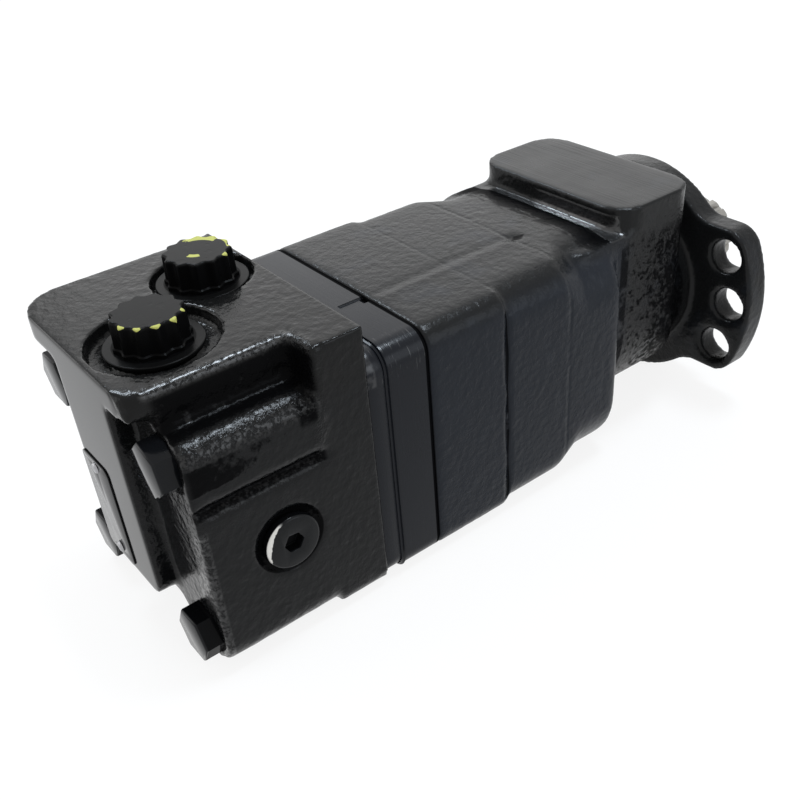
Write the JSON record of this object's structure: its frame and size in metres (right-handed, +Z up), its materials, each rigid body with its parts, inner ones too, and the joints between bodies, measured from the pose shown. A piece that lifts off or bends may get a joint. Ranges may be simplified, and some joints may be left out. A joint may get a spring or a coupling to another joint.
{
  "type": "hydraulic motor",
  "caption": "Orbital hydraulic motor with a long cast shaft housing, winged flange, splined shaft and capped ports on top.",
  "frame": {"origin": "centre of the pilot on the mounting face of the flange", "axes": "+X out along the output shaft, +Z up through the ports, drain plug towards -Y"},
  "size_m": [0.3069, 0.1276, 0.1162],
  "materials": {
    "casting_paint": "semi-gloss black paint over a coarse casting",
    "ring_paint": "thin semi-gloss black paint over ground steel",
    "screw_finish": "black paint over steel screws",
    "cap_plastic": "smooth black moulded plastic",
    "plug_paint": "black paint, chipped at the rim",
    "plate_paint": "thin plate under black paint",
    "rivet_finish": "black paint over steel",
    "shaft_steel": "machined steel",
    "hardened_steel": "ground steel",
    "bearing_steel": "polished bearing steel",
    "seal_rubber": "black oil resistant rubber"
  },
  "bodies": {
    "housing": {"shaft_housing": "casting_paint", "wear_plate": "hardened_steel", "geroler_ring": "ring_paint", "geroler_rollers": "hardened_steel", "valve_plate": "ring_paint", "valve_housing": "casting_paint", "balance_ring": "hardened_steel", "balance_seal": "seal_rubber", "balance_spring": "hardened_steel", "balance_pins": "hardened_steel", "rear_port_cap": "cap_plastic", "front_port_cap": "cap_plastic", "drain_plug": "plug_paint", "drain_seal": "seal_rubber", "cap_screws": "screw_finish", "nameplate": "plate_paint", "nameplate_rivets": "rivet_finish", "body_seals": "seal_rubber", "front_bearing_cup": "bearing_steel", "rear_bearing_cup": "bearing_steel", "rear_spacer": "hardened_steel", "rear_snap_ring": "hardened_steel", "shaft_seal": "seal_rubber", "seal_backup": "hardened_steel", "front_snap_ring": "hardened_steel", "dust_seal": "seal_rubber"},
    "shaft": {"output_shaft": "shaft_steel", "front_bearing_cone": "bearing_steel", "rear_bearing_cone": "bearing_steel"},
    "front_roller_set": {"front_bearing_rollers": "bearing_steel", "front_bearing_cage": "bearing_steel"},
    "rear_roller_set": {"rear_bearing_rollers": "bearing_steel", "rear_bearing_cage": "bearing_steel"},
    "orbit": {"drive_spacer": "shaft_steel"},
    "star": {"rotor_star": "shaft_steel"},
    "main_drive_body": {"main_drive": "shaft_steel"},
    "valve_drive_body": {"valve_drive": "shaft_steel"},
    "disc_valve_body": {"disc_valve": "shaft_steel"}
  },
  "joints": [
    {"name": "shaft_spin", "type": "hinge", "parent": "housing", "child": "shaft", "pos_m": [0, 0, 0], "axis": [1, 0, 0], "continuous": true},
    {"name": "front_rollers_roll", "type": "hinge", "parent": "housing", "child": "front_roller_set", "pos_m": [0, 0, 0], "axis": [1, 0, 0], "continuous": true},
    {"name": "rear_rollers_roll", "type": "hinge", "parent": "housing", "child": "rear_roller_set", "pos_m": [0, 0, 0], "axis": [1, 0, 0], "continuous": true},
    {"name": "disc_valve_spin", "type": "hinge", "parent": "housing", "child": "disc_valve_body", "pos_m": [0, 0, 0], "axis": [1, 0, 0], "continuous": true},
    {"name": "star_orbit", "type": "hinge", "parent": "housing", "child": "orbit", "pos_m": [-0.1636, 0, 0], "axis": [1, 0, 0], "continuous": true},
    {"name": "star_spin", "type": "hinge", "parent": "orbit", "child": "star", "pos_m": [-0.1636, 0.0028, 0], "axis": [1, 0, 0], "continuous": true},
    {"name": "main_drive_spin", "type": "hinge", "parent": "orbit", "child": "main_drive_body", "pos_m": [-0.1678, 0.0028, 0], "axis": [0.9992, -0.0389, 0], "continuous": true},
    {"name": "valve_drive_spin", "type": "hinge", "parent": "orbit", "child": "valve_drive_body", "pos_m": [-0.1779, 0.0028, 0], "axis": [0.9943, 0.1071, 0], "continuous": true}
  ],
  "couplings": [
    {"joint": "front_rollers_roll", "follows": "shaft_spin", "ratio": 0.4385},
    {"joint": "rear_rollers_roll", "follows": "shaft_spin", "ratio": 0.4442},
    {"joint": "disc_valve_spin", "follows": "shaft_spin", "ratio": 1},
    {"joint": "star_orbit", "follows": "shaft_spin", "ratio": -6},
    {"joint": "star_spin", "follows": "shaft_spin", "ratio": 7},
    {"joint": "main_drive_spin", "follows": "shaft_spin", "ratio": 7},
    {"joint": "valve_drive_spin", "follows": "shaft_spin", "ratio": 7}
  ]
}
